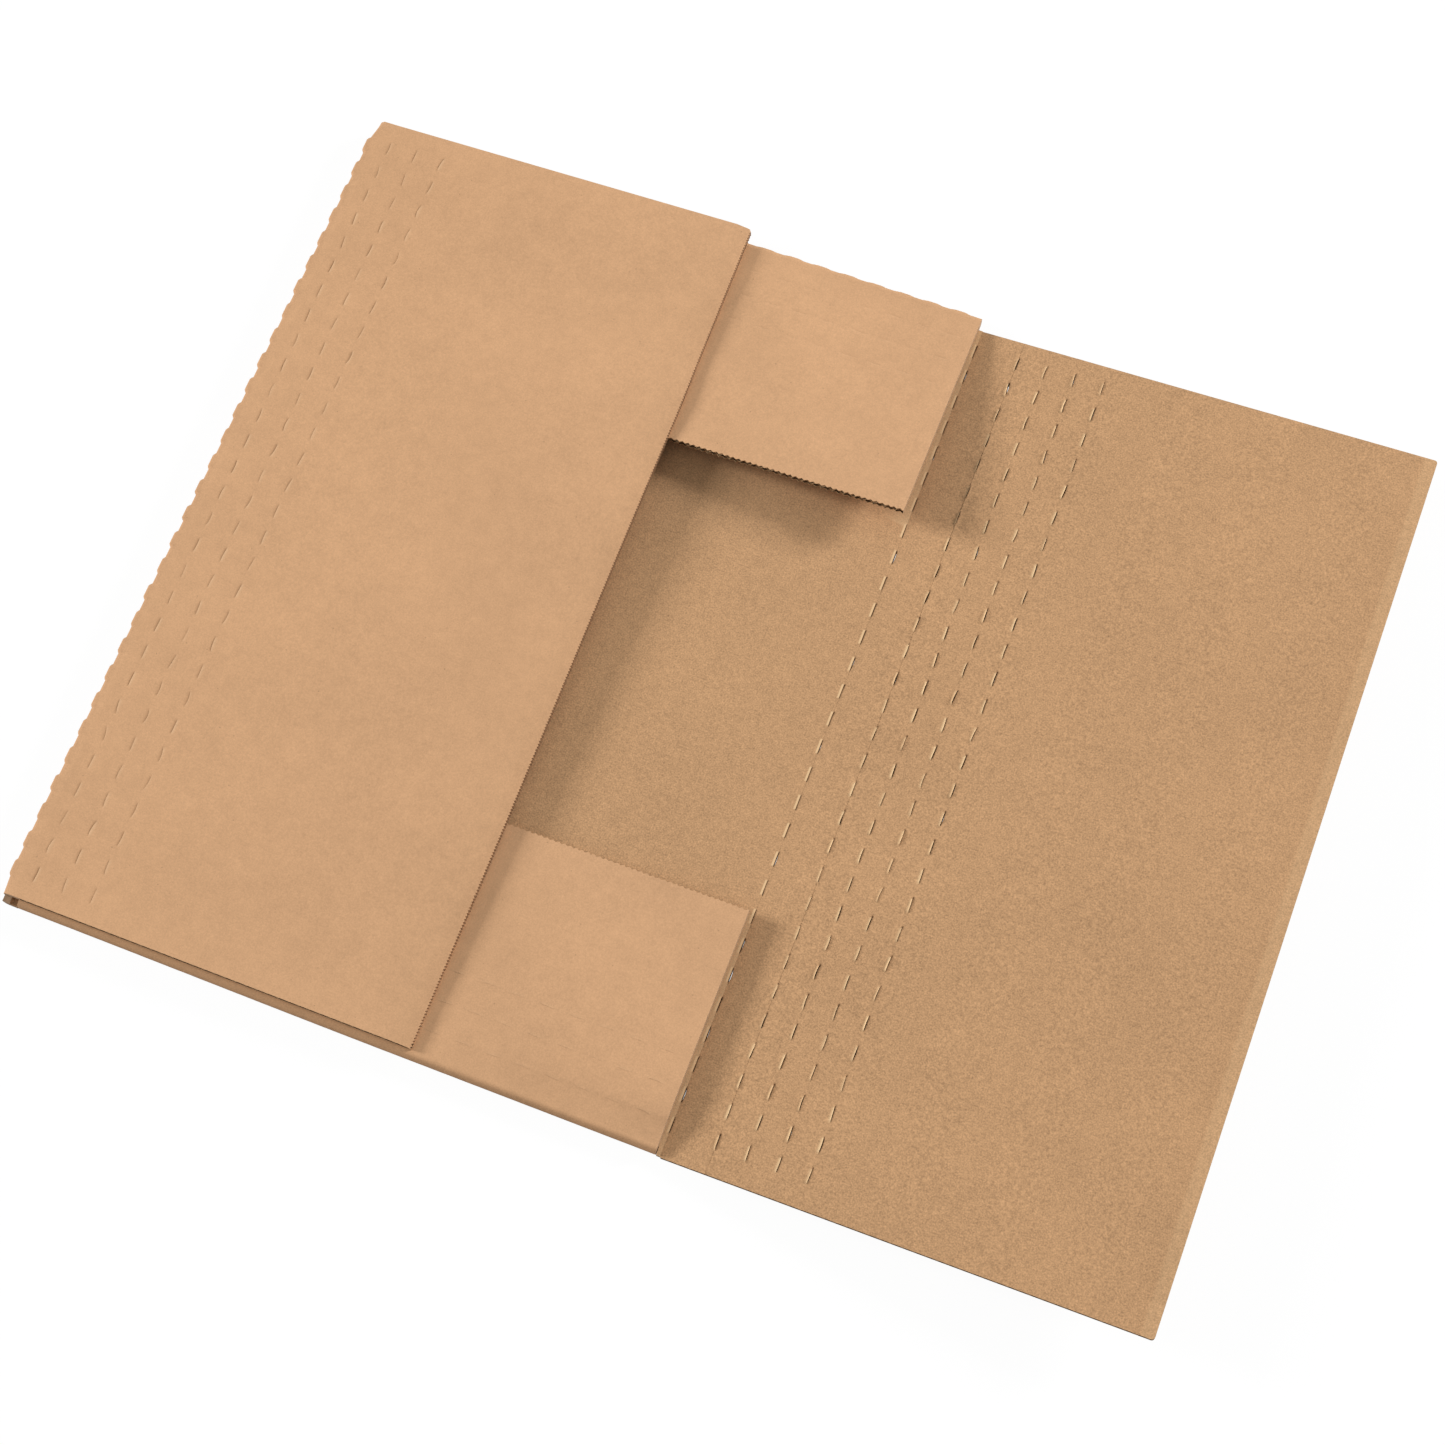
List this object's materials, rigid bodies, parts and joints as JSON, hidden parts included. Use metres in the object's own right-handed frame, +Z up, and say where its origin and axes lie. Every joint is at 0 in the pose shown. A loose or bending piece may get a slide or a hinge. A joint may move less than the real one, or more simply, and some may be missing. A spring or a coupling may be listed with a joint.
{
  "type": "wraparound mailer",
  "caption": "Corrugated wraparound mailer with perforated depth scores, end flaps and one outer flap folded in, the other outer flap open.",
  "frame": {"origin": "middle of the bounding box, on the table that the centre panel lies on", "axes": "+X across the panels from the folded left flap to the open right flap, +Y along the outer folds towards the raised end flap, +Z up"},
  "size_m": [0.4805, 0.3838, 0.0208],
  "materials": {
    "kraft_outer": "smooth kraft liner, matt",
    "kraft_inner": "fibrous kraft liner, matt"
  },
  "bodies": {
    "panel": {"base": "kraft_inner"},
    "left_flap": {"left_flap": "kraft_outer"},
    "right_wall": {"right_wall": "kraft_inner"},
    "right_cover": {"right_cover": "kraft_inner"}
  },
  "joints": [
    {"name": "left_flap_fold", "type": "hinge", "parent": "panel", "child": "left_flap", "pos_m": [-0.24025, 0, 0.0051], "axis": [0, -1, 0], "range_deg": [0, 177]},
    {"name": "right_wall_crease", "type": "hinge", "parent": "panel", "child": "right_wall", "pos_m": [0.04265, 0, 0.0032], "axis": [0, -1, 0], "range_deg": [0, 84.9]},
    {"name": "right_cover_score", "type": "hinge", "parent": "right_wall", "child": "right_cover", "pos_m": [0.06162, 0, 0.00489], "axis": [0, -1, 0], "range_deg": [0, 90]}
  ]
}
